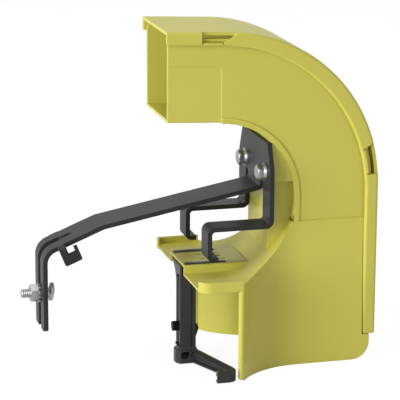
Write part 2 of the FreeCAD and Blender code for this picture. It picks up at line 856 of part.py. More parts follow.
# Steel bracket: one stamping. A strip's side view is drawn through its bend points, and each bend
# has the same inside radius unless it names its own.
def strip_outline(points, thick, bends):
    """Outline of a bent strip: points run along its left face, and thick lies to the right."""
    def offset_line(a, b, distance):
        length = math.dist(a, b)
        nx = (b[1] - a[1]) / length
        nz = -(b[0] - a[0]) / length
        return (a[0] + nx * distance, a[1] + nz * distance), (b[0] + nx * distance, b[1] + nz * distance)

    def crossing(p, q):
        (x1, y1), (x2, y2) = p
        (x3, y3), (x4, y4) = q
        d = (x1 - x2) * (y3 - y4) - (y1 - y2) * (x3 - x4)
        a = x1 * y2 - y1 * x2
        b = x3 * y4 - y3 * x4
        return ((a * (x3 - x4) - (x1 - x2) * b) / d, (a * (y3 - y4) - (y1 - y2) * b) / d)

    def turned_left(a, b, c):
        return (b[0] - a[0]) * (c[1] - b[1]) - (b[1] - a[1]) * (c[0] - b[0]) > 0

    def arc_at(corner, before, after, radius):
        def unit(a, b):
            length = math.dist(a, b)
            return ((b[0] - a[0]) / length, (b[1] - a[1]) / length)
        u = unit(corner, before)
        w = unit(corner, after)
        half = math.acos(max(-1, min(1, u[0] * w[0] + u[1] * w[1]))) / 2
        reach = radius / math.tan(half)
        away = radius / math.sin(half)
        mid = unit((0, 0), (u[0] + w[0], u[1] + w[1]))
        centre = (corner[0] + mid[0] * away, corner[1] + mid[1] * away)
        first = (corner[0] + u[0] * reach, corner[1] + u[1] * reach)
        last = (corner[0] + w[0] * reach, corner[1] + w[1] * reach)
        middle = (centre[0] - mid[0] * radius, centre[1] - mid[1] * radius)
        return first, middle, last

    count = len(points)
    segments = [offset_line(points[i], points[i + 1], thick) for i in range(count - 1)]
    right = [segments[0][0]]
    right += [crossing(segments[i], segments[i + 1]) for i in range(count - 2)]
    right.append(segments[-1][1])

    def side_steps(side, is_left):
        steps = []
        for i in range(1, count - 1):
            left_turn = turned_left(points[i - 1], points[i], points[i + 1])
            inner = left_turn == is_left
            radius = bends[i - 1] + (0 if inner else thick)
            first, middle, last = arc_at(side[i], side[i - 1], side[i + 1], radius)
            steps.append(("arc", first, middle, last))
        return steps

    steps = []
    for _, first, middle, last in side_steps(points, True):
        steps += [first, (middle, last)]
    steps += [points[-1], right[-1]]
    for _, first, middle, last in reversed(side_steps(right, False)):
        steps += [last, (middle, first)]
    return points[0], steps + [right[0], points[0]]


SHEET = V["sheet"]
BRACKET_X = V["boss_x"] - SHEET
ARM = math.tan(math.radians(V["arm_slope"]))
DROP = math.tan(math.radians(V["arm_drop_slope"]))
KNEE_Z = V["arm_root"] - ARM * (BRACKET_X - V["arm_knee_x"])
PRONG_IN = V["prong_x"] + SHEET
DROP_Z = KNEE_Z - DROP * (V["arm_knee_x"] - V["prong_x"])


def bracket_plate():
    half = V["bracket_half"]
    low = V["leg_low"] + SHEET + V["bend_inside"]
    gap = V["leg_inner"]
    top = V["relief_top"]
    radius = (gap - V["arm_half"]) / 2
    middle_y = V["arm_half"] + radius
    start = (half, low)
    steps = [(half, V["bracket_shoulder"]), (V["bracket_top_half"], V["bracket_top"])]
    steps += [(-V["bracket_top_half"], V["bracket_top"]), (-half, V["bracket_shoulder"]), (-half, low)]
    root = V["arm_root"] + V["bend_inside"]
    steps += [(-gap, low), (-gap, top - radius)]
    steps += [((-middle_y, top), (-V["arm_half"], top - radius)), (-V["arm_half"], root)]
    steps += [(V["arm_half"], root), (V["arm_half"], top - radius)]
    steps += [((middle_y, top), (gap, top - radius)), (gap, low), start]
    return front_slab("bracket_plate", start, steps, BRACKET_X, "sizes.sheet")


def bracket_leg():
    high = V["leg_low"] + SHEET + V["bend_inside"] + 1
    front = V["leg_front_x"]
    points = [
        (BRACKET_X, high),
        (BRACKET_X, V["leg_low"] + SHEET),
        (front, V["leg_low"] + SHEET),
        (front, V["toe_low"]),
        (V["toe_x"], V["toe_low"]),
    ]
    inside = V["bend_inside"]
    points = points[::-1]
    start, steps = strip_outline(points, SHEET, [inside * 0.5, inside, inside])
    return side_slab("bracket_leg_far", start, steps, V["leg_inner"], "sizes.bracket_half - sizes.leg_inner")


def bracket_arm():
    root = V["arm_root"] + V["bend_inside"] + 1
    points = [
        (V["prong_x"], V["prong_bottom"]),
        (V["prong_x"], DROP_Z),
        (V["arm_knee_x"], KNEE_Z),
        (BRACKET_X, V["arm_root"]),
        (BRACKET_X, root),
    ]
    bends = [V["prong_bend"], V["knee_bend"], V["bend_inside"]]
    start, steps = strip_outline(points, SHEET, bends)
    strip = side_extrusion("arm_strip", start, steps, "sizes.arm_half")

    def on_tip(e):
        box = e.BoundBox
        at_bottom = box.ZMax < V["prong_bottom"] + 0.01
        return at_bottom and box.YLength < 0.01

    return rounded("arm_rounded", strip, V["prong_round"], on_tip)


def arm_slot():
    """The open slot runs up the prongs and round the bend, and ends in a narrow slit."""
    half = V["arm_slot_half"]
    thin = V["arm_slit_half"]
    x0 = V["prong_x"] - 5
    x1 = V["arm_slot_x"]
    x2 = V["arm_slit_x"]
    start = (x0, -half)
    steps = [
        (x1 - half / 2, -half),
        (x1, -thin),
        (x2 - thin, -thin),
        ((x2, 0), (x2 - thin, thin)),
        (x1, thin),
        (x1 - half / 2, half),
        (x0, half),
        start,
    ]
    return plan_slab("arm_slot", start, steps, V["prong_bottom"] - 5, "sizes.floor_height")


def lug(side, width, length):
    """A lug folded down from the arm's edge. Drawn level at the origin, then laid on the arm's slope."""
    reach = V["lug_reach"]
    outer = V["arm_half"] + reach
    inside = reach - SHEET
    strap = V["lug_strap"] if side == "near" else width
    edge_y = V["arm_half"] - 1
    section = [(edge_y, SHEET), (outer, SHEET), (outer, -length)]
    start, steps = strip_outline(section, SHEET, [inside])
    fold = sketch(f"lug_{side}_section", start, steps, FRONT_VIEW)
    bent = extrusion(f"lug_{side}_fold", fold, Vector(1, 0, 0), f"{strap}")
    if side == "near":
        start, steps = box_steps(0, -length, width, -V["lug_panel_drop"])
        panel = side_slab("lug_panel", start, steps, outer - SHEET, "sizes.sheet")
        start, steps = box_steps(strap, -V["lug_window_low"], strap + V["lug_window"], 10)
        hole = side_slab("lug_hole", start, steps, outer - SHEET - 5, "sizes.sheet + 10")
        leaf = fuse("lug_leaf", bent, cut("lug_plate", panel, hole))

        def on_corner(e):
            box = e.BoundBox
            return box.ZMax < 0.01 - length and box.XLength < 0.01

        bent = rounded("lug_near_rounded", leaf, 1.2, on_corner)
    x = V["lug_x"]
    z = KNEE_Z - DROP * (V["arm_knee_x"] - x) - SHEET / math.cos(math.radians(V["arm_drop_slope"]))
    turn = FreeCAD.Rotation(Vector(0, 1, 0), -V["arm_drop_slope"])
    bent.Placement = FreeCAD.Placement(Vector(x, 0, z), turn)
    return bent


def support_bracket():
    leg = bracket_leg()
    arm = cut("arm_slotted", bracket_arm(), arm_slot())
    near_lug = lug("near", V["lug_width"], V["lug_length"])
    lug_near = mirrored("lug_near", near_lug)
    lug_far = lug("far", V["lug_twin_width"], V["lug_twin_length"])
    holes = [
        rod(f"bracket_hole_{side}", BRACKET_X - 1, y, V["screw_z"], "sizes.screw_radius + 3 * sizes.screw_clearance",
            "sizes.sheet + 2")
        for side, y in (("far", V["screw_y"]), ("near", -V["screw_y"]))
    ]
    steel = fuse("bracket_steel", bracket_plate(), leg, mirrored("bracket_leg_near", leg), arm, lug_near, lug_far)
    return cut("support_bracket", steel, *holes)


# Hex washer head screws hold the bracket to the boss, one each side. They cut their own thread.
def bracket_screws():
    screws = []
    for side, y in (("far", V["screw_y"]), ("near", -V["screw_y"])):
        shank = rod(f"screw_shank_{side}", BRACKET_X - 0.5, y, V["screw_z"], "sizes.screw_radius",
                    "sizes.screw_length + sizes.sheet")
        washer = doc.addObject("Part::Cone", f"screw_flange_{side}")
        washer.setExpression("Radius1", "sizes.flange_radius - sizes.flange_height * 0.6")
        washer.setExpression("Radius2", "sizes.flange_radius")
        washer.setExpression("Height", "sizes.flange_height")
        flange_x = BRACKET_X - V["flange_height"]
        washer.Placement = FreeCAD.Placement(Vector(flange_x, y, V["screw_z"]), ALONG_X)
        start, steps = hexagon(V["screw_flats"])
        drawing = sketch(f"screw_hex_outline_{side}", start, steps, FRONT_VIEW,
                         (BRACKET_X - V["screw_head"], y, V["screw_z"]))
        head = extrusion(f"screw_hex_{side}", drawing, Vector(1, 0, 0), "sizes.screw_head")
        crown = doc.addObject("Part::Cone", f"screw_crown_{side}")
        crown.setExpression("Radius1", "sizes.screw_flats * 0.46")
        crown.setExpression("Radius2", "sizes.screw_flats * 0.46 + sizes.screw_head * 1.2")
        crown.setExpression("Height", "sizes.screw_head")
        crown.Placement = FreeCAD.Placement(Vector(BRACKET_X - V["screw_head"], y, V["screw_z"]), ALONG_X)
        bevelled = common(f"screw_head_{side}", head, crown)
        screws.append(fuse(f"screw_{side}", shank, washer, bevelled))
    both = doc.addObject("Part::Compound", "bracket_screws")
    both.Links = screws
    return both


# Slot bolt: a T head bolt through the open slot, with a toothed washer and a nut on the outside.
WASHER_X = V["prong_x"] - V["washer_height"]
NUT_X = WASHER_X - V["nut_height"]
HEAD_X = PRONG_IN + V["head_gap"]


def slot_bolt():
    end = V["stud_radius"] * 0.25
    shank = rod("stud_shank", V["stud_tip"] + end, 0, V["stud_z"], "sizes.stud_radius", f"{HEAD_X - V['stud_tip']}")
    tip = doc.addObject("Part::Cone", "stud_point")
    tip.setExpression("Radius1", "sizes.stud_radius * 0.75")
    tip.setExpression("Radius2", "sizes.stud_radius")
    tip.Height = end
    tip.Placement = FreeCAD.Placement(Vector(V["stud_tip"], 0, V["stud_z"]), ALONG_X)
    long_half = V["head_length"] / 2
    wide_half = V["head_width"] / 2
    start = (-wide_half, -long_half)
    steps = [
        (0, -long_half),
        ((wide_half * 0.71, -long_half + wide_half * 0.29), (wide_half, -long_half + wide_half)),
        (wide_half, long_half),
        (0, long_half),
        ((-wide_half * 0.71, long_half - wide_half * 0.29), (-wide_half, long_half - wide_half)),
        start,
    ]
    turn = FreeCAD.Rotation(Vector(1, 0, 0), V["head_turn"])
    drawing = sketch("stud_head_outline", start, steps, turn.multiply(FRONT_VIEW), (HEAD_X, 0, V["stud_z"]))
    head = extrusion("stud_head", drawing, Vector(1, 0, 0), "sizes.head_height")
    return fuse("slot_bolt", shank, tip, head)


def slot_nut():
    start, steps = hexagon(V["nut_flats"])
    drawing = sketch("nut_outline", start, steps, FRONT_VIEW, (NUT_X, 0, V["stud_z"]))
    block = extrusion("nut_block", drawing, Vector(1, 0, 0), "sizes.nut_height")
    crown = doc.addObject("Part::Cone", "nut_crown")
    crown.setExpression("Radius1", "sizes.nut_flats * 0.48")
    crown.setExpression("Radius2", "sizes.nut_flats * 0.48 + sizes.nut_height * 1.2")
    crown.setExpression("Height", "sizes.nut_height")
    crown.Placement = FreeCAD.Placement(Vector(NUT_X, 0, V["stud_z"]), ALONG_X)
    bore = rod("nut_bore", NUT_X - 1, 0, V["stud_z"], "sizes.stud_radius + sizes.stud_clearance", "sizes.nut_height + 2")
    return cut("slot_nut", common("nut_bevelled", block, crown), bore)


def tooth_washer():
    disc = rod("washer_disc", WASHER_X, 0, V["stud_z"], "sizes.washer_radius", "sizes.washer_height")
    bore = rod("washer_bore", WASHER_X - 1, 0, V["stud_z"], "sizes.stud_radius + 2 * sizes.stud_clearance",
               "sizes.washer_height + 2")
    teeth = 12
    notches = []
    for n in range(teeth):
        x0 = V["washer_root"]
        wide = 2 * math.pi * x0 / teeth * 0.24
        start = (x0, -wide)
        steps = [(x0 + 5, -wide * 1.8), (x0 + 5, wide * 1.8), (x0, wide), start]
        turn = FreeCAD.Rotation(Vector(1, 0, 0), 360 * n / teeth)
        drawing = sketch(f"washer_notch_{n}_outline", start, steps, turn.multiply(FRONT_VIEW),
                         (WASHER_X - 1, 0, V["stud_z"]))
        notches.append(extrusion(f"washer_notch_{n}", drawing, Vector(1, 0, 0), "sizes.washer_height + 2"))
    return cut("tooth_washer", disc, bore, *notches)


# Clamp: a slider in the table's slots, a hanging hook with a toothed jaw, a strap, a screw and a nut.
def clamp_slider():
    gap = V["slider_clearance"]
    half = V["table_half"] - PLATE_WALL - gap
    under = V["table_height"] - PLATE_WALL - gap
    x0 = V["slot_start"] + gap
    x1 = V["slot_end"] - gap
    start, steps = box_steps(x0, -half, V["slider_end"], half)
    web = plan_slab("slider_web", start, steps, under - V["slider_web"], "sizes.slider_web")
    hole = doc.addObject("Part::Cylinder", "slider_hole")
    hole.setExpression("Radius", "sizes.slider_hole")
    hole.setExpression("Height", "sizes.slider_web + 2")
    hole.Placement.Base = Vector(V["table_hole_x"], 0, under - V["slider_web"] - 1)
    runners = []
    for side, y in (("far", V["slot_y"]), ("near", -V["slot_y"])):
        thin = V["slot_width"] / 2 - gap
        start, steps = box_steps(x0, y - thin, x1, y + thin)
        height = "sizes.slider_web + sizes.plate_wall + sizes.slider_clearance + sizes.runner_proud"
        runners.append(plan_slab(f"slider_runner_{side}", start, steps, under - V["slider_web"], height))
    return cut("clamp_slider", fuse("slider_solid", web, *runners), hole)


SLIDER_LOW = V["table_height"] - PLATE_WALL - V["slider_clearance"] - V["slider_web"]


def hook_post():
    """A channel, open to the front, that hangs from the slider."""
    x0 = V["post_left"]
    x1 = V["post_right"]
    near = V["post_y"] - V["post_half"]
    far = V["post_y"] + V["post_half"]
    wall = V["post_wall"]
    groove = V["post_groove_x"]
    deep = near + V["post_groove_depth"]
    start = (x0, near)
    steps = [
        (groove, near),
        (groove, deep),
        (groove + V["post_groove"], deep),
        (groove + V["post_groove"], near),
        (x1, near),
        (x1, far),
        (x0, far),
        (x0, far - wall),
        (x1 - wall, far - wall),
        (x1 - wall, near + wall),
        (x0, near + wall),
        start,
    ]
    height = f"{SLIDER_LOW - V['post_low']}"
    channel = plan_slab("post_channel", start, steps, V["post_low"], height)
    reach = V["gusset_reach"]
    low, top = V["gusset_low"], V["gusset_top"]
    start = (far - wall, low)
    steps = [
        (far, low),
        ((far + reach * 0.25, low * 0.35), (far + reach, top * 0.6)),
        (far + reach, top),
        (near, top),
        (near, SLIDER_LOW - wall),
        (far - wall, SLIDER_LOW - wall),
        start,
    ]
    gusset = front_slab("post_gusset", start, steps, x0, f"{V['slot_start'] - 0.1 - x0}")
    wedge_y = V["post_y"] - V["wedge_width"] / 2
    start = (x1 - wall / 2, V["wedge_low"])
    steps = [
        (x1, V["wedge_low"]),
        (x1 + V["wedge_depth"], V["wedge_top"] - V["wedge_depth"]),
        (x1 + V["wedge_depth"] * 0.6, V["wedge_top"]),
        (x1 - wall / 2, V["wedge_top"]),
        start,
    ]
    wedge = side_slab("post_wedge", start, steps, wedge_y, "sizes.wedge_width")
    return fuse("hook_post", channel, gusset, wedge)


def hook_loop():
    """The ring at the post's foot, with the jaw arm and its curled end, all one band on edge."""
    wall = V["loop_wall"]
    left, right = V["loop_left"], V["loop_right"]
    near, far = V["loop_near"], V["loop_far"]
    start, steps = strip_ring(left, near, right, far)
    outer = plan_slab("loop_outer", start, steps, V["loop_top"] - V["loop_height"], "sizes.loop_height")
    start, steps = strip_ring(left + wall, near + wall, right - wall, far - wall)
    inner = plan_slab("loop_inner", start, steps, V["loop_top"] - V["loop_height"] - 1, "sizes.loop_height + 2")
    ring = cut("loop_ring", outer, inner)
    return ring


def strip_ring(x0, y0, x1, y1):
    """A box outline with its two left corners cut at a slant."""
    slant = (y1 - y0) * 0.3
    start = (x0 + slant * 0.6, y0)
    steps = [(x1, y0), (x1, y1), (x0 + slant * 0.6, y1), (x0, y1 - slant), (x0, y0 + slant), start]
    return start, steps


def hook_jaw():
    wall = V["loop_wall"]
    lip_y = V["jaw_y"] - 1.5 * V["jaw_turn"]
    points = [
        (V["jaw_lip_x"], lip_y),
        (V["jaw_x"] + 1.0, lip_y),
        (V["jaw_x"], V["jaw_y"]),
        (V["loop_right"] - 0.6 * wall, V["loop_near"] + 4.5),
    ]
    start, steps = strip_outline(points[::-1], wall, [12.0, V["jaw_turn"] - wall])
    return plan_slab("hook_jaw", start, steps, V["loop_top"] - V["loop_height"], "sizes.loop_height")


def jaw_slope():
    """Cuts the jaw arm's upper edge, which falls from the ring to the curled end."""
    x0 = V["loop_right"]
    start = (x0, V["loop_top"])
    steps = [
        (V["jaw_x"], V["jaw_top"]),
        (V["jaw_x"] + 20, V["jaw_top"]),
        (V["jaw_x"] + 20, V["loop_top"] + 1),
        (x0, V["loop_top"] + 1),
        start,
    ]
    along = side_slab("jaw_slope_arm", start, steps, -FAR_OUT / 2, f"{FAR_OUT / 2 + V['loop_near'] + 4}")
    start, steps = box_steps(V["loop_left"], V["jaw_top"], x0, V["loop_top"] + 1)
    beyond = side_slab("jaw_slope_lip", start, steps, -FAR_OUT / 2, f"{FAR_OUT / 2 + V['jaw_y']}")
    return fuse("jaw_slope", along, beyond)


def jaw_teeth():
    """Upright ribs on the gripping face of the jaw arm."""
    a = (V["loop_right"], V["loop_near"] + 4.5)
    b = (V["jaw_x"], V["jaw_y"])
    length = math.dist(a, b)
    ux, uy = (b[0] - a[0]) / length, (b[1] - a[1]) / length
    nx, ny = uy, -ux
    count = int((length - 12) / V["tooth_pitch"])
    depth = V["loop_wall"]
    teeth = []
    for n in range(count):
        along = 5 + n * V["tooth_pitch"]
        px, py = a[0] + ux * along, a[1] + uy * along
        base = (px + nx * depth * 0.6, py + ny * depth * 0.6)
        end = (base[0] + ux * V["tooth_pitch"] * 0.9, base[1] + uy * V["tooth_pitch"] * 0.9)
        tall = depth * 0.4 + V["tooth_height"]
        crest = (base[0] + nx * tall, base[1] + ny * tall)
        start = base
        teeth.append(plan_slab(f"jaw_tooth_{n}", start, [end, crest, base],
                               V["loop_top"] - V["loop_height"], "sizes.loop_height"))
    return teeth


def hook_neck():
    """The block that joins the post's foot to the ring below it."""
    lower = strip_ring(V["loop_left"] + 1.2, V["loop_near"] + 0.8, V["loop_right"], V["loop_far"] - 0.3)
    upper = strip_ring(V["post_left"], V["post_y"] - V["post_half"], V["post_right"], V["post_y"] + V["post_half"])
    solid = loft("neck_block", lower, upper, V["loop_top"], V["post_low"] + 0.5)
    wall = V["post_wall"]
    x0, x1 = V["post_left"] + wall, V["post_right"] - wall
    y0, y1 = V["post_y"] - V["post_half"] + wall, V["post_y"] + V["post_half"] - wall
    start, steps = box_steps(x0, y0, x1, y1)
    bore = plan_slab("neck_bore", start, steps, V["loop_top"] - 1, f"{V['post_low'] + 5 - V['loop_top'] + 1}")
    return cut("hook_neck", solid, bore)


STRAP_X = V["post_left"]
CLAMP_NUT_X = V["post_right"] - V["post_wall"] - V["clamp_nut_height"]


def clamp_hook():
    jaw = cut("jaw_sloped", fuse("jaw_solid", hook_jaw(), *jaw_teeth()), jaw_slope())
    body = fuse("hook_solid", hook_post(), hook_neck(), hook_loop(), jaw)
    screw_y = V["post_y"]
    hole = rod("hook_screw_hole", V["post_left"] - 5, screw_y, V["clamp_screw_z"],
               "sizes.clamp_screw_radius + 0.2", "sizes.post_right - sizes.post_left + 4.5")
    return cut("clamp_hook", body, hole)


def clamp_strap():
    """A steel strip in the channel's mouth, turned forward at its foot."""
    half = V["post_half"] - V["post_wall"] - V["strap_gap"]
    thick = V["strap_thick"]
    points = [
        (STRAP_X - V["strap_foot"], V["strap_low"] + thick),
        (STRAP_X, V["strap_low"] + thick),
        (STRAP_X, V["strap_top"]),
    ]
    start, steps = strip_outline(points, thick, [0.4])
    strip = side_slab("strap_strip", start, steps, V["post_y"] - half, f"{2 * half}")
    hole = rod("strap_hole", STRAP_X - 3, V["post_y"], V["clamp_screw_z"], "sizes.clamp_screw_radius + 0.2", "10")
    return cut("clamp_strap", strip, hole)


def clamp_screw():
    head_x = STRAP_X - V["clamp_head_height"]
    length = f"{V['post_right'] - 0.5 - head_x}"
    shank = rod("clamp_shank", head_x, V["post_y"], V["clamp_screw_z"], "sizes.clamp_screw_radius", length)
    head = rod("clamp_head", head_x, V["post_y"], V["clamp_screw_z"], "sizes.clamp_head_radius",
               "sizes.clamp_head_height")
    return fuse("clamp_screw", shank, head)


def clamp_nut():
    start, steps = hexagon(V["clamp_nut_flats"])
    drawing = sketch("clamp_nut_outline", start, steps, FRONT_VIEW,
                     (CLAMP_NUT_X, V["post_y"], V["clamp_screw_z"]))
    block = extrusion("clamp_nut_block", drawing, Vector(1, 0, 0), "sizes.clamp_nut_height")
    bore = rod("clamp_nut_bore", CLAMP_NUT_X - 1, V["post_y"], V["clamp_screw_z"],
               "sizes.clamp_screw_radius + 0.1", "sizes.clamp_nut_height + 2")
    return cut("clamp_nut", block, bore)


pieces = [
    duct_body(),
    duct_cover(),
    support_bracket(),
    bracket_screws(),
    slot_bolt(),
    slot_nut(),
    tooth_washer(),
    clamp_slider(),
    clamp_hook(),
    clamp_strap(),
    clamp_screw(),
    clamp_nut(),
]
doc.recompute()

for item in doc.Objects:
    if "Invalid" in item.State or "Error" in item.State:
        raise RuntimeError(f"{item.Name} failed: {item.State}")
for piece in pieces:
    if piece.Shape.isNull() or not piece.Shape.isValid():
        raise RuntimeError(f"{piece.Label} has no valid shape")
    solids = piece.Shape.Solids
    print(piece.Label, len(solids), "solids", round(sum(s.Volume for s in solids)), "mm3")

os.makedirs("parts", exist_ok=True)
for piece in pieces:
    piece.Shape.exportStep(f"parts/{piece.Label}.step")
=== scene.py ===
import math

import bmesh
import bpy
from mathutils import Matrix, Vector


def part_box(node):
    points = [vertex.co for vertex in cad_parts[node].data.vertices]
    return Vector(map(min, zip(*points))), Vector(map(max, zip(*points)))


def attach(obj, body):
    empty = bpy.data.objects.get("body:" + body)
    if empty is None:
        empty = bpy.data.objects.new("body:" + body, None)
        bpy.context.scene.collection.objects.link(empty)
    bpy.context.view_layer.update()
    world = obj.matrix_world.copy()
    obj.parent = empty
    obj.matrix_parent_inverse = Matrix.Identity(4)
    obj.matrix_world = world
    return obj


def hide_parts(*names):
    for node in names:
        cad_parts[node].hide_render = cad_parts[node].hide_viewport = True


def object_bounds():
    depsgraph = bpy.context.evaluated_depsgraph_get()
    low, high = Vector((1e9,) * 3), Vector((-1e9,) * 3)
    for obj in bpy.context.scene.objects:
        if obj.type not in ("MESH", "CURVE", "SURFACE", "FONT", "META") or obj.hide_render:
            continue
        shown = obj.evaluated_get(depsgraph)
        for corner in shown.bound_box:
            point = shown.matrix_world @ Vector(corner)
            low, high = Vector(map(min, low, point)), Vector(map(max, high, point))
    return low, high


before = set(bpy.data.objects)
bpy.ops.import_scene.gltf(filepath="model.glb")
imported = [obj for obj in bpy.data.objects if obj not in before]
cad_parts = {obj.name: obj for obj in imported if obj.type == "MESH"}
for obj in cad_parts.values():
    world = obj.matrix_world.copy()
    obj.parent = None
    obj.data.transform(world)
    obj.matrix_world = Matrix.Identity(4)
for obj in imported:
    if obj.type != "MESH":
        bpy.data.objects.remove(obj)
start_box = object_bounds()


# The duct body and its snap cover are one yellow flame-retardant plastic, injection moulded with a
# satin skin. The mould leaves each edge slightly rounded, so each edge catches a thin bright line.
YELLOW = (0.62, 0.575, 0.095)
MOULD_EDGE = 0.0006
EDGE_SAMPLES = 6
GRAIN_DEPTH = 0.0002


class Feed:
    """One output of a node, so that shader maths is written as Python expressions."""

    def __init__(self, graph, socket):
        self.graph = graph
        self.socket = socket

    def maths(self, operation, first, second):
        return self.graph.node("ShaderNodeMath", {"operation": operation}, {0: first, 1: second})

    def __add__(self, other):
        return self.maths("ADD", self, other)

    def __radd__(self, other):
        return self.maths("ADD", other, self)

    def __mul__(self, other):
        return self.maths("MULTIPLY", self, other)

    def __rmul__(self, other):
        return self.maths("MULTIPLY", other, self)


class Graph:
    """A node tree whose nodes all come from one method."""

    def __init__(self, tree):
        self.tree = tree

    def feed(self, socket, value):
        if isinstance(value, Feed):
            self.tree.links.new(value.socket, socket)
        else:
            socket.default_value = value

    def node(self, kind, settings, inputs, output=0):
        made = self.tree.nodes.new(kind)
        for name, value in settings.items():
            setattr(made, name, value)
        for name, value in inputs.items():
            self.feed(made.inputs[name], value)
        return Feed(self, made.outputs[output])


class Finish(Graph):
    """A material with one Principled shader, whose constants are set on its own sockets."""

    def __init__(self, name, colour, roughness, metallic=0.0, specular=0.5):
        self.material = bpy.data.materials.new(name)
        self.material.use_nodes = True
        self.material.diffuse_color = (*colour, 1.0)
        super().__init__(self.material.node_tree)
        self.shader = self.tree.nodes["Principled BSDF"]
        self.shader.inputs["Base Color"].default_value = (*colour, 1.0)
        self.shader.inputs["Roughness"].default_value = roughness
        self.shader.inputs["Metallic"].default_value = metallic
        self.shader.inputs["Specular IOR Level"].default_value = specular

    def grain(self, scale, smoothest, roughest):
        """Lets the roughness wander between two values, and returns the pattern that it follows."""
        place = self.node("ShaderNodeTexCoord", {}, {}, "Object")
        pattern = self.node("ShaderNodeTexNoise", {}, {"Vector": place, "Scale": scale}, "Fac")
        self.feed(self.shader.inputs["Roughness"], smoothest + pattern * (roughest - smoothest))
        return pattern

    def soften(self, radius, height=None, strength=0.0):
        """Rounds sharp edges in the shading, over a fine surface grain if height is given."""
        edge = self.node("ShaderNodeBevel", {"samples": EDGE_SAMPLES}, {"Radius": radius})
        if height is not None:
            inputs = {"Height": height, "Strength": strength, "Distance": GRAIN_DEPTH, "Normal": edge}
            edge = self.node("ShaderNodeBump", {}, inputs)
        self.feed(self.shader.inputs["Normal"], edge)


def paint(finish, *nodes):
    """Gives CAD nodes a finish."""
    for name in nodes:
        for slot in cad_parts[name].material_slots:
            slot.material = finish.material


yellow = Finish("yellow_moulding", YELLOW, roughness=0.42, specular=0.4)
skin = yellow.grain(scale=260.0, smoothest=0.39, roughest=0.46)
yellow.soften(MOULD_EDGE, height=skin, strength=0.03)
paint(yellow, "duct_body", "duct_cover")


# The bracket is one stamping of 3.2 mm steel sheet with a black powder coat, held by two screws. The
# coat has a fine grain, and is a little brighter where it wraps round the sheared edges.
BLACK_COAT = (0.02, 0.02, 0.0195)
SHEARED_EDGE = 0.0005

coat = Finish("black_powder_coat", BLACK_COAT, roughness=0.46, specular=0.25)
powder = coat.grain(scale=900.0, smoothest=0.42, roughest=0.52)
coat.soften(SHEARED_EDGE, height=powder, strength=0.06)
paint(coat, "support_bracket")


# The clamp's slider and hook are glass-filled nylon, moulded in black with a dull skin. The slider's
# runners lie in the table's guide slots. Four short ribs of the slider rise through the table's slits,
# and their snap heads lie on the table.
NYLON = (0.04, 0.04, 0.037)
MM = 0.001
RIB_SIZE = Vector((4.8, 1.4, 4.6))
RIB_HEAD = Vector((5.8, 2.8, 0.5))
RIBS = ((16.9, 5.2), (16.9, -5.2), (30.6, 7.5), (30.6, -7.5))
TABLE_TOP = 5.3


def as_data(name, mesh):
    """Ends the work on a mesh and gives its data."""
    data = bpy.data.meshes.new(name)
    mesh.to_mesh(data)
    mesh.free()
    return data


def as_object(name, data):
    made = bpy.data.objects.new(name, data)
    bpy.context.collection.objects.link(made)
    return made


def add_piece(name, mesh, finish):
    """Makes a closed mesh into a piece that is fixed to the fitting."""
    bmesh.ops.recalc_face_normals(mesh, faces=mesh.faces)
    data = as_data(name, mesh)
    data.materials.append(finish.material)
    piece = as_object(name, data)
    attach(piece, "root")
    return piece


def add_block(mesh, place, size):
    """Adds a block, whose size is in millimetres, with its middle at a frame's origin."""
    bmesh.ops.create_cube(mesh, size=MM, matrix=place @ Matrix.Diagonal((*size, 1.0)))


nylon = Finish("black_nylon", NYLON, roughness=0.34, specular=0.15)
dull = nylon.grain(scale=500.0, smoothest=0.3, roughest=0.38)
nylon.soften(MOULD_EDGE, height=dull, strength=0.03)
paint(nylon, "clamp_slider", "clamp_hook")

ribs = bmesh.new()
for x, y in RIBS:
    for size, middle in ((RIB_SIZE, TABLE_TOP - RIB_SIZE.z / 2), (RIB_HEAD, TABLE_TOP + RIB_HEAD.z / 2)):
        add_block(ribs, Matrix.Translation(Vector((x, y, middle)) * MM), size)
add_piece("slider_ribs", ribs, nylon)


# The hook's jaw arm is a moulded trough on edge: a sloping ledge along its top, a thicker rim at its
# foot, and a rack of short teeth between them that bites the tray's wall. Ledge and rim follow the
# arm round its curled end.
ARM_FROM, ARM_TO = (9.4, -18.4), (24.1, -52.8)
CURL_CENTRE, CURL_RADIUS = (20.5, -57.3), 4.6
CURL_END_X = 12.4
CURL_STEPS = 7
LEDGE_HIGH, LEDGE_LOW = -57.3, -59.6
FOOT_Z = -66.6
LEDGE = ((-0.6, 0.0), (0.2, 0.0), (2.7, -1.5), (2.7, -2.2), (-0.6, -2.9))
FOOT_RIM = ((-0.6, 0.0), (1.9, 0.0), (2.2, 0.4), (2.2, 1.5), (-0.6, 2.3))
RACK_DROP = 2.9
TOOTH_PITCH, TOOTH_WIDTH, TOOTH_TALL = 1.5, 0.8, 1.6
TOOTH_FROM, TOOTH_TO = -0.5, 2.6


def station(x, y, z, heading):
    """A frame on the arm: first axis into the trough, second axis up, third along the arm."""
    along = Vector((math.cos(heading), math.sin(heading), 0.0))
    inward = Vector((along.y, -along.x, 0.0))
    up = Vector((0.0, 0.0, 1.0))
    return Matrix.Translation(Vector((x, y, z)) * MM) @ Matrix((inward, up, along)).transposed().to_4x4()


def arm_stations(z_from, z_to):
    """Frames on the arm's inner face, from its root at z_from round the curl to its end at z_to."""
    heading = math.atan2(ARM_TO[1] - ARM_FROM[1], ARM_TO[0] - ARM_FROM[0])
    frames = [station(*ARM_FROM, z_from, heading), station(*ARM_TO, z_to, heading)]
    for step in range(CURL_STEPS):
        turned = -math.pi / 2 * step / (CURL_STEPS - 1)
        x = CURL_CENTRE[0] + CURL_RADIUS * math.cos(turned)
        y = CURL_CENTRE[1] + CURL_RADIUS * math.sin(turned)
        frames.append(station(x, y, z_to, turned - math.pi / 2))
    frames.append(station(CURL_END_X, CURL_CENTRE[1] - CURL_RADIUS, z_to, -math.pi))
    return frames


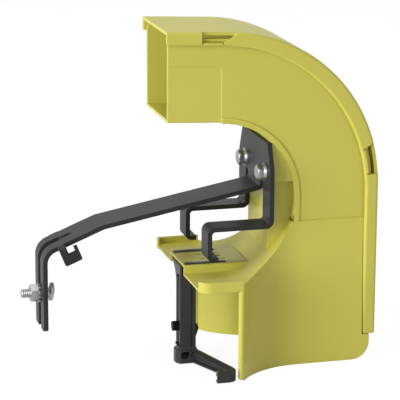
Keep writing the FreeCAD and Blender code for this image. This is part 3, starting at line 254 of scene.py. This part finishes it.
def swept(section, frames):
    """Extrudes a section from each frame to the next one. Only the two end faces stay."""
    mesh = bmesh.new()
    face = mesh.faces.new([mesh.verts.new(frames[0] @ Vector((a * MM, b * MM, 0.0))) for a, b in section])
    for before, after in zip(frames, frames[1:]):
        grown = bmesh.ops.extrude_face_region(mesh, geom=[face])["geom"]
        if before is not frames[0]:
            bmesh.ops.delete(mesh, geom=[face], context="FACES_ONLY")
        face = next(item for item in grown if isinstance(item, bmesh.types.BMFace))
        corners = [item for item in grown if isinstance(item, bmesh.types.BMVert)]
        bmesh.ops.transform(mesh, matrix=after @ before.inverted(), verts=corners)
    return mesh


add_piece("jaw_ledge", swept(LEDGE, arm_stations(LEDGE_HIGH, LEDGE_LOW)), nylon)
add_piece("jaw_foot_rim", swept(FOOT_RIM, arm_stations(FOOT_Z, FOOT_Z)), nylon)

rack = bmesh.new()
root, tip = arm_stations(LEDGE_HIGH - RACK_DROP, LEDGE_LOW - RACK_DROP)[:2]
arm_length = (tip.translation - root.translation).length
into_trough = Matrix.Translation(((TOOTH_FROM + TOOTH_TO) / 2 * MM, 0.0, 0.0))
for tooth in range(1, int(arm_length / (TOOTH_PITCH * MM))):
    place = root.lerp(tip, tooth * TOOTH_PITCH * MM / arm_length)
    add_block(rack, place @ into_trough, (TOOTH_TO - TOOTH_FROM, TOOTH_TALL, TOOTH_WIDTH))
add_piece("jaw_rack", rack, nylon)


# The hook is one nylon moulding with a hollow foot, whose near wall is open. A raised bead runs along
# the opening's top, down its right side and on into the arm's trough.
OPEN_LOW = Vector((-1.3, -20.0, -63.2))
OPEN_HIGH = Vector((5.0, -15.0, -58.0))
OPEN_ROUND, OPEN_SEGMENTS = 1.8, 4
BEAD_RADIUS, BEAD_FACETS = 0.5, 3
BEAD_POINTS = (
    (-1.6, -18.1, -56.4), (2.4, -18.2, -57.2), (6.4, -18.2, -57.9), (5.0, -18.2, -59.8),
    (5.4, -18.2, -62.2), (7.2, -18.3, -62.9), (9.0, -18.8, -61.6), (11.2, -21.2, -62.0),
)
SAME_CORNER = 0.001
SAME_RING_POINT = 0.01


def round_edges(mesh, edges, width, segments=2):
    bmesh.ops.bevel(
        mesh, geom=edges, offset=width * MM, segments=segments, profile=0.5, affect="EDGES", material=-1,
        clamp_overlap=True,
    )


def span(edge):
    """How far an edge reaches along X, Y and Z, in metres."""
    return edge.verts[0].co - edge.verts[1].co


cutter_mesh = bmesh.new()
add_block(cutter_mesh, Matrix.Translation((OPEN_LOW + OPEN_HIGH) / 2 * MM), OPEN_HIGH - OPEN_LOW)
through = [edge for edge in cutter_mesh.edges if abs(span(edge).y) > MM]
round_edges(cutter_mesh, through, OPEN_ROUND, OPEN_SEGMENTS)
cutter = as_object("foot_opening", as_data("foot_opening", cutter_mesh))

hook_mesh = bmesh.new()
hook_mesh.from_mesh(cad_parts["clamp_hook"].data)
bmesh.ops.remove_doubles(hook_mesh, verts=hook_mesh.verts, dist=SAME_CORNER * MM)
hook = add_piece("moulded_hook", hook_mesh, nylon)
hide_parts("clamp_hook")
cut = hook.modifiers.new("foot_opening", "BOOLEAN")
cut.operation = "DIFFERENCE"
cut.solver = "EXACT"
cut.object = cutter
opened = bpy.data.meshes.new_from_object(hook.evaluated_get(bpy.context.evaluated_depsgraph_get()))
hook.modifiers.clear()
hook.data = opened
bpy.data.objects.remove(cutter)

bead_line = bpy.data.curves.new("foot_bead_line", "CURVE")
bead_line.dimensions = "3D"
bead_line.bevel_depth = BEAD_RADIUS * MM
bead_line.bevel_resolution = BEAD_FACETS
bead_line.use_fill_caps = True
spline = bead_line.splines.new("NURBS")
spline.points.add(len(BEAD_POINTS) - 1)
for point, place in zip(spline.points, BEAD_POINTS):
    point.co = (Vector(place) * MM).to_4d()
spline.use_endpoint_u = True
spline.order_u = 3
bead_curve = bpy.data.objects.new("foot_bead_line", bead_line)
bead = bmesh.new()
bead.from_mesh(bpy.data.meshes.new_from_object(bead_curve))
bpy.data.objects.remove(bead_curve)
bmesh.ops.remove_doubles(bead, verts=bead.verts, dist=SAME_RING_POINT * MM)
add_piece("foot_bead", bead, nylon)


# The clamp's strap is a strip of blackened steel in the post's channel. A blackened pan head screw
# pulls it and the nut inside the channel together.
BLACKENED = (0.006, 0.006, 0.006)

blackened = Finish("blackened_steel", BLACKENED, roughness=0.4, specular=0.03)
blackened.soften(SHEARED_EDGE)
paint(blackened, "clamp_strap", "clamp_screw", "clamp_nut")


# The bracket's screws, the slot bolt, its nut and its washer are zinc plated steel, bright with a
# faint cloudiness from the plating bath.
ZINC = (0.34, 0.34, 0.33)
TURNED_EDGE = 0.0003

zinc = Finish("zinc_plate", ZINC, roughness=0.34, metallic=0.9)
zinc.grain(scale=420.0, smoothest=0.28, roughest=0.44)
zinc.soften(TURNED_EDGE)
paint(zinc, "bracket_screws", "slot_nut", "tooth_washer")


# The slot bolt is a 1/4 inch, 20 threads to the inch bolt with a T head that turns through a strut's
# slot. Its thread shows at the free end, and the head has two round and two square corners.
BOLT_RADIUS = 3.175
BOLT_TURNS = 32
THREAD_PITCH, THREAD_DEPTH = 1.27, 0.42
THREAD_END = -99.0
CREST_FROM, CREST_TO = 0.4, 0.6
SHANK_IN_HEAD = 0.5
HEAD_SIZE = Vector((2.8, 7.2, 13.5))
HEAD_TURN = math.radians(43.0)
HEAD_ROUND, HEAD_SEGMENTS = 3.4, 5
HEAD_EDGE, SHARP_ANGLE = 0.35, 1.0

bolt_low, bolt_high = (Vector(corner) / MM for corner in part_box("slot_bolt"))
bolt_axis = (bolt_low + bolt_high) / 2
head_x = bolt_high.x - HEAD_SIZE.x
root_radius = BOLT_RADIUS - THREAD_DEPTH
profile = [(bolt_low.x, 0.0), (bolt_low.x, root_radius - THREAD_DEPTH)]
groove_x = bolt_low.x + THREAD_DEPTH
while groove_x + THREAD_PITCH < THREAD_END:
    profile.append((groove_x, root_radius))
    profile += [(groove_x + share * THREAD_PITCH, BOLT_RADIUS) for share in (CREST_FROM, CREST_TO)]
    groove_x += THREAD_PITCH
profile += [(groove_x, root_radius), (groove_x + THREAD_DEPTH, BOLT_RADIUS)]
profile += [(head_x + SHANK_IN_HEAD, BOLT_RADIUS), (head_x + SHANK_IN_HEAD, 0.0)]

bolt_mesh = bmesh.new()
outline = [bolt_mesh.verts.new(Vector((x, bolt_axis.y, bolt_axis.z + r)) * MM) for x, r in profile]
outline_edges = [bolt_mesh.edges.new(pair) for pair in zip(outline, outline[1:])]
bmesh.ops.spin(
    bolt_mesh, geom=outline + outline_edges, cent=bolt_axis * MM, axis=(1.0, 0.0, 0.0),
    angle=2 * math.pi, steps=BOLT_TURNS, use_merge=True,
)
bmesh.ops.remove_doubles(bolt_mesh, verts=bolt_mesh.verts, dist=SAME_RING_POINT * MM)

head_mesh = bmesh.new()
add_block(head_mesh, Matrix.Identity(4), HEAD_SIZE)
corners = [
    edge for edge in head_mesh.edges
    if abs(span(edge).x) > MM and edge.verts[0].co.y * edge.verts[0].co.z < 0
]
round_edges(head_mesh, corners, HEAD_ROUND, HEAD_SEGMENTS)
sharp = [edge for edge in head_mesh.edges if edge.calc_face_angle(0.0) > SHARP_ANGLE]
round_edges(head_mesh, sharp, HEAD_EDGE)
head_middle = Vector((head_x + HEAD_SIZE.x / 2, bolt_axis.y, bolt_axis.z)) * MM
head_place = Matrix.Translation(head_middle) @ Matrix.Rotation(HEAD_TURN, 4, "X")
bmesh.ops.transform(head_mesh, matrix=head_place, verts=head_mesh.verts)
bolt_mesh.from_mesh(as_data("bolt_head", head_mesh))
bolt = add_piece("threaded_bolt", bolt_mesh, zinc)
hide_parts("slot_bolt")


# Floor and backdrop: a pale studio sweep, which isn't part of the object. Seen by the camera it is
# white, and it still takes the object's soft shadow.
FLOOR_HALF = 4.0
FLOOR_GREY = (0.8, 0.8, 0.8)
WHITE = (1.0, 1.0, 1.0, 1.0)
SHADOW_SHARE = 0.16
FLOOR_GLOW = 1.1
WHITE_TO = ("Is Camera Ray", "Is Glossy Ray", "Is Transmission Ray")


def sees_white(graph):
    """One for the rays that see a white studio, and nought for those that carry its light."""
    return sum(graph.node("ShaderNodeLightPath", {}, {}, ray) for ray in WHITE_TO)


floor_mesh = bmesh.new()
bmesh.ops.create_grid(floor_mesh, x_segments=1, y_segments=1, size=FLOOR_HALF)
bmesh.ops.translate(floor_mesh, verts=floor_mesh.verts, vec=(0.0, 0.0, start_box[0][2]))
studio_floor = as_object("studio_floor", as_data("studio_floor", floor_mesh))

sweep = Finish("studio_floor", FLOOR_GREY, roughness=0.9)
shaded = Feed(sweep, sweep.shader.outputs[0])
glow = sweep.node("ShaderNodeEmission", {}, {"Color": WHITE, "Strength": FLOOR_GLOW})
lit_share = sees_white(sweep) * (1 - SHADOW_SHARE)
mixed = sweep.node("ShaderNodeMixShader", {}, {0: lit_share, 1: shaded, 2: glow})
sweep.feed(sweep.tree.nodes["Material Output"].inputs["Surface"], mixed)
studio_floor.data.materials.append(sweep.material)


# The studio's air and lamps: an even pale surround that the camera and glossy skins see as white, a
# low key lamp to the left that lights the faces towards the duct's open end, and one overhead.
SURROUND = 0.29
LAMP_DISTANCE = 2.6
LAMP_SIZE = 1.6
LAMPS = {"key_lamp": (205.0, 12.0, 74.0), "top_lamp": (0.0, 90.0, 20.0)}

world = bpy.data.worlds.new("studio")
bpy.context.scene.world = world
world.use_nodes = True
air = Graph(world.node_tree)
surround = air.tree.nodes["Background"]
surround.inputs["Color"].default_value = WHITE
surround.inputs["Strength"].default_value = SURROUND
backdrop = air.node("ShaderNodeBackground", {}, {"Color": WHITE})
inputs = {0: sees_white(air), 1: Feed(air, surround.outputs[0]), 2: backdrop}
air.feed(air.tree.nodes["World Output"].inputs["Surface"], air.node("ShaderNodeMixShader", {}, inputs))

for name, (azimuth, elevation, watts) in LAMPS.items():
    lamp_data = bpy.data.lights.new(name, "AREA")
    lamp_data.shape = "SQUARE"
    lamp_data.size = LAMP_SIZE
    lamp_data.energy = watts
    lamp = as_object(name, lamp_data)
    level, turned = math.radians(elevation), math.radians(azimuth)
    flat = Vector((math.cos(turned), math.sin(turned), 0.0)) * math.cos(level)
    lamp.location = (flat + Vector((0.0, 0.0, math.sin(level)))) * LAMP_DISTANCE
    lamp.rotation_euler = (-lamp.location).to_track_quat("-Z", "Y").to_euler()


# The camera stands to the left of the fitting and a little above it. The fitting's origin falls on
# the named pixel of the 400 pixel picture, at the named distance.
PICTURE_PIXELS = 400
FOCAL_PIXELS = 2053.0
ORIGIN_PIXEL = (176.96, 266.33)
ORIGIN_DISTANCE = 1.4504
YAW, PITCH, ROLL = (math.radians(a) for a in (15.25, 14.61, 0.28))
SENSOR_WIDTH = 36.0
FARTHEST = 20.0

camera_data = bpy.data.cameras.new("photo_view")
camera_data.sensor_width = SENSOR_WIDTH
camera_data.lens = FOCAL_PIXELS / PICTURE_PIXELS * SENSOR_WIDTH
camera_data.clip_end = FARTHEST
camera = as_object("photo_view", camera_data)
tilt = Matrix.Rotation(math.pi / 2 - PITCH, 3, "X")
turn = Matrix.Rotation(-YAW, 3, "Z") @ tilt @ Matrix.Rotation(ROLL, 3, "Z")
right = (ORIGIN_PIXEL[0] - PICTURE_PIXELS / 2) / FOCAL_PIXELS * ORIGIN_DISTANCE
up = (PICTURE_PIXELS / 2 - ORIGIN_PIXEL[1]) / FOCAL_PIXELS * ORIGIN_DISTANCE
camera.matrix_world = Matrix.Translation(-(turn @ Vector((right, up, -ORIGIN_DISTANCE)))) @ turn.to_4x4()
bpy.context.scene.camera = camera
bpy.context.scene.view_settings.view_transform = "Standard"
